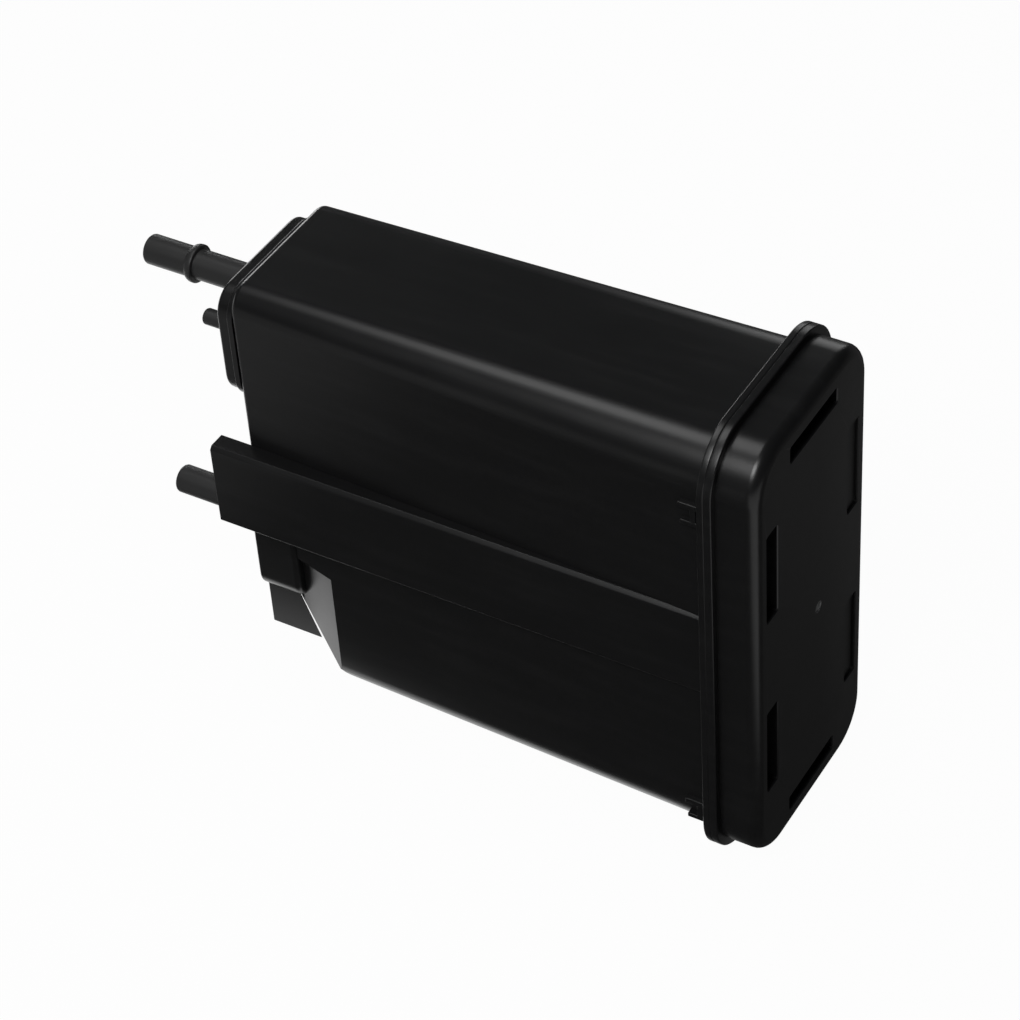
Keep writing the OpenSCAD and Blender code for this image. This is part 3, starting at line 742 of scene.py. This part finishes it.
def pocket(bm, x, y, z, half_y, half_z, corner, depth, lip, finish=SATIN):
    """Adds a blind pocket that is open in the plane at x, with a bevelled lip round its mouth."""
    hole = rounded_face(x, y, z, half_y, half_z, corner, 4)
    floor = push(hole, hole.faces[:], (-lip, 0.0, 0.0))
    shrink = Matrix.Diagonal((1.0, 1.0 - lip / half_y, 1.0 - lip / half_z, 1.0))
    centre = Matrix.Translation((0.0, -y, -z))
    bmesh.ops.transform(hole, matrix=shrink, space=centre, verts=floor[0].verts)
    push(hole, floor, (lip - depth, 0.0, 0.0), hollow=True)
    lid = [f for f in hole.faces if abs(f.calc_center_median().x - x) < NEAR]
    bmesh.ops.delete(hole, geom=lid, context="FACES_ONLY")
    paint(hole, finish)
    join(bm, hole)


class CANISTER_OT_cap(bpy.types.Operator):
    """Builds the end cap with its flange, rounded end face, six blind pockets and gate mark"""
    bl_idname = "canister.cap"
    bl_label = "End cap"

    def execute(self, context):
        s = context.scene.canister_cap_sizes
        body = context.scene.canister_body_sizes
        end = CAP_HIGH.x
        bm = slab(WELD + CAP_START, end, 0.0, MIDDLE, s.half_depth, s.half_height, s.corner, 14)
        round_edges(bm, rim(bm, end), s.edge_round, 7)
        face_out(bm)
        face = max(bm.faces, key=lambda f: f.calc_center_median().x)
        bmesh.ops.delete(bm, geom=[face], context="FACES_ONLY")
        for side, depth in ((-1, s.pocket_depth), (1, s.shallow_depth)):
            for up in (-1, 1):
                pocket(bm, end, side * s.side_pocket_out, MIDDLE + up * s.side_pocket_up,
                       s.side_pocket_width / 2, s.side_pocket_length / 2, POCKET_CORNER, depth, POCKET_LIP)
            pocket(bm, end, 0.0, MIDDLE + side * s.end_pocket_up, s.end_pocket_length / 2,
                   s.end_pocket_width / 2, POCKET_CORNER, s.pocket_depth, POCKET_LIP)
        # The gate mark takes the pale finish, which is partly a painted highlight.
        pocket(bm, end, s.gate_back, MIDDLE - s.gate_down, s.gate_radius, s.gate_radius,
               s.gate_radius * GATE_ROUNDNESS, GATE_DEPTH, GATE_LIP, TORN_AND_PAINTED_GLINT)
        mouths = [e for e in bm.edges if e.is_boundary]
        bmesh.ops.triangle_fill(bm, edges=mouths, use_beauty=True, normal=ALONG)
        face_out(bm)
        flange_face = WELD + body.flange_thickness
        flange = slab(WELD, flange_face, 0.0, MIDDLE, *FLANGE_HALF, body.flange_corner, 14)
        round_edges(flange, rim(flange, WELD), CAP_WELD_ROUND, 2)
        round_edges(flange, rim(flange, flange_face), CAP_FLANGE_ROUND)
        join(bm, flange)
        piece("cap_shell", bm, context.scene.canister_colours, "end_cap")
        return {"FINISHED"}


class CANISTER_OT_cover(bpy.types.Operator):
    """Builds the port cover with its weld base, the beaded tank port and the purge port"""
    bl_idname = "canister.cover"
    bl_label = "Port cover"

    def execute(self, context):
        s = context.scene.canister_cover_sizes
        face, base_face = PORT_END - s.thickness, PORT_END - s.base
        mid_z = (COVER_LOW.z + COVER_HIGH.z) / 2
        bm = slab(face, PORT_END, -s.forward, mid_z, s.half_depth, s.half_height, s.corner)
        round_edges(bm, rim(bm, face), s.edge_round, 5)
        base = slab(base_face, PORT_END, -s.forward, mid_z, s.half_depth + BASE_MARGIN,
                    s.half_height + BASE_MARGIN, s.corner + BASE_MARGIN)
        round_edges(base, rim(base, base_face), BASE_ROUND)
        join(bm, base)
        tip, root = COVER_LOW.x, face + TUBE_ROOT
        x0 = tip + s.bead_setback - s.bead_width / 2
        x1, rise = x0 + s.bead_width, s.bead - s.tank_tube
        bead = [(x0 + along, s.tank_tube + rise * share) for along, share in BEAD_RAMP]
        bead += [(x1 - along, s.tank_tube + rise * share) for along, share in BEAD_FALL]
        tank = tube_outline(tip, root, s.tank_tube, s.tank_bore, foot=0.0012)
        join(bm, turned(tank[:TIP_POINTS] + bead + tank[TIP_POINTS:], 0.0, s.tank_up))
        purge = tube_outline(face - s.purge_length, root, s.purge_tube, s.purge_bore, foot=0.0008)
        join(bm, turned(purge, -s.purge_forward, s.purge_up, 48))
        piece("cover_shell", bm, context.scene.canister_colours, "port_cover")
        return {"FINISHED"}


class CANISTER_OT_inside(bpy.types.Operator):
    """Gives the screens, felts, carbon beds, plates and springs inside their finishes"""
    bl_idname = "canister.inside"
    bl_label = "Inside pieces"

    def execute(self, context):
        shades = context.scene.canister_colours
        for names, finish in ((WHITE_NODES, natural_plastic), (FELT_NODES, needled_felt),
                              (CARBON_NODES, carbon_pellets), (SPRING_NODES, drawn_wire)):
            for name in names:
                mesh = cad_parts[name].data
                mesh.materials.clear()
                mesh.materials.append(finish(shades))
        return {"FINISHED"}


def studio_floor(shades):
    """Pale floor: white with a faint shadow to the camera, and to reflections a glow that is bright only in
    places: painted reflections on the moulding.
    """
    made, f = finish_named("studio_floor")
    if f:
        path = f.node("ShaderNodeLightPath", {}, {})
        # Places in metres from the middle of the part, then how bright the floor's painted reflection glow is
        # at each one.
        x, y, _ = f.axes()
        front = 1 - f.band(y, -0.047, -0.039)
        inside = f.band(y, -0.036, -0.028)
        under = inside * (1 - f.band(y, 0.10, 0.20))
        left = 1 - f.band(x, -0.22, -0.11)
        right = f.band(x, 0.10, 0.14)
        corner = front * f.band(x, 0.20, 0.28)
        strip = (1 - front) * (1 - inside) * f.band(x, -0.18, -0.085)
        beside = (1 - right) * (under + strip)
        behind = right * f.band(y, 0.0, 0.22)
        # The level of the floor's painted reflection glow, seen only by glossy rays; no lamp stands there.
        painted_reflection_level = 0.04 + beside * 1.25 + corner * 0.6 + front * left * 0.2 + behind * 0.03
        painted_reflection = f.glow(f.node("ShaderNodeCombineColor", {}, {0: painted_reflection_level, 1: painted_reflection_level, 2: painted_reflection_level})[0])
        cloud = f.noise(3.0, detail=2.0)
        tint = f.blend(cloud * 0.3, rgba(shades.floor), rgba(shades.floor, 0.97))
        lit = f.node("ShaderNodeBsdfDiffuse", {}, {"Color": tint})[0]
        white = f.mix(0.97, lit, f.glow(WHITE))
        # Glossy rays see the painted reflection glow, other rays see the lit floor.
        bounce = f.mix(path[GLOSSY_RAY], lit, painted_reflection)
        shown = f.mix(path[CAMERA_RAY], bounce, white)
        f.node("ShaderNodeOutputMaterial", {}, {"Surface": shown})
    return made


def lamp(name, place, aim, width, height, power):
    """A soft rectangular lamp that points at a spot."""
    data = bpy.data.lights.new(name, "AREA")
    data.shape = "RECTANGLE"
    data.size, data.size_y, data.energy = width, height, power
    made = put(name, data)
    made.visible_camera = False
    made.location = place
    made.rotation_euler = (Vector(aim) - Vector(place)).to_track_quat("-Z", "Y").to_euler()


class CANISTER_OT_stage(bpy.types.Operator):
    """Sets the floor, the soft lamps, the world and the camera"""
    bl_idname = "canister.stage"
    bl_label = "Stage"

    def execute(self, context):
        scene = context.scene
        body = scene.canister_body_sizes
        rest = Vector((WELD - body.flange_thickness, 0.0, CAP_LOW.z))
        foot = Vector((PORT_END + body.slope_length, 0.0, FOOT_HEIGHT))
        lean = math.atan2(foot.z - rest.z, rest.x - foot.x)
        bm = bmesh.new()
        bmesh.ops.create_grid(bm, x_segments=8, y_segments=8, size=FLOOR_SIZE,
                              matrix=Matrix.Translation(rest) @ Matrix.Rotation(lean, 4, "Y"))
        mesh = bpy.data.meshes.new("floor")
        bm.to_mesh(mesh)
        bm.free()
        mesh.materials.append(studio_floor(scene.canister_colours))
        floor = put("floor", mesh)

        for settings in LAMPS:
            lamp(*settings)

        scene.world = bpy.data.worlds.new("studio")
        f = Finish(scene.world)
        path = f.node("ShaderNodeLightPath", {}, {})
        fill = f.node("ShaderNodeBackground", {}, {"Color": FILL_TINT, "Strength": FILL_POWER})[0]
        white = f.node("ShaderNodeBackground", {}, {"Color": WHITE, "Strength": 1.0})[0]
        f.node("ShaderNodeOutputWorld", {}, {"Surface": f.mix(path[CAMERA_RAY], fill, white)})

        data = bpy.data.cameras.new("camera")
        data.sensor_width, data.lens = CAMERA_SENSOR, CAMERA_LENS
        scene.camera = put("camera", data)
        scene.camera.matrix_world = CAMERA_VIEW
        scene.view_settings.view_transform = "Standard"
        return {"FINISHED"}


OPERATORS = (CANISTER_OT_body, CANISTER_OT_cap, CANISTER_OT_cover, CANISTER_OT_inside, CANISTER_OT_stage)


class CANISTER_PT_panel(bpy.types.Panel):
    """Lists the sizes, colours and steps of the canister"""
    bl_idname = "CANISTER_PT_panel"
    bl_label = "Charcoal canister"
    bl_space_type = "VIEW_3D"
    bl_region_type = "UI"
    bl_category = "Canister"

    def draw(self, context):
        layout = self.layout
        for step in OPERATORS:
            layout.operator(step.bl_idname)
        for group in (context.scene.canister_body_sizes, context.scene.canister_cap_sizes,
                      context.scene.canister_cover_sizes, context.scene.canister_colours):
            column = layout.box().column()
            for name in group.__annotations__:
                column.prop(group, name)


CLASSES = (CanisterBodySizes, CanisterCapSizes, CanisterCoverSizes, CanisterColours, *OPERATORS,
           CANISTER_PT_panel)


def register():
    for made in CLASSES:
        bpy.utils.register_class(made)
    bpy.types.Scene.canister_body_sizes = PointerProperty(type=CanisterBodySizes)
    bpy.types.Scene.canister_cap_sizes = PointerProperty(type=CanisterCapSizes)
    bpy.types.Scene.canister_cover_sizes = PointerProperty(type=CanisterCoverSizes)
    bpy.types.Scene.canister_colours = PointerProperty(type=CanisterColours)


def unregister():
    del bpy.types.Scene.canister_colours
    del bpy.types.Scene.canister_cover_sizes
    del bpy.types.Scene.canister_cap_sizes
    del bpy.types.Scene.canister_body_sizes
    for made in reversed(CLASSES):
        bpy.utils.unregister_class(made)


def main():
    register()
    bpy.ops.canister.body()
    bpy.ops.canister.cap()
    bpy.ops.canister.cover()
    bpy.ops.canister.inside()
    bpy.ops.canister.stage()


if __name__ == "__main__":
    main()
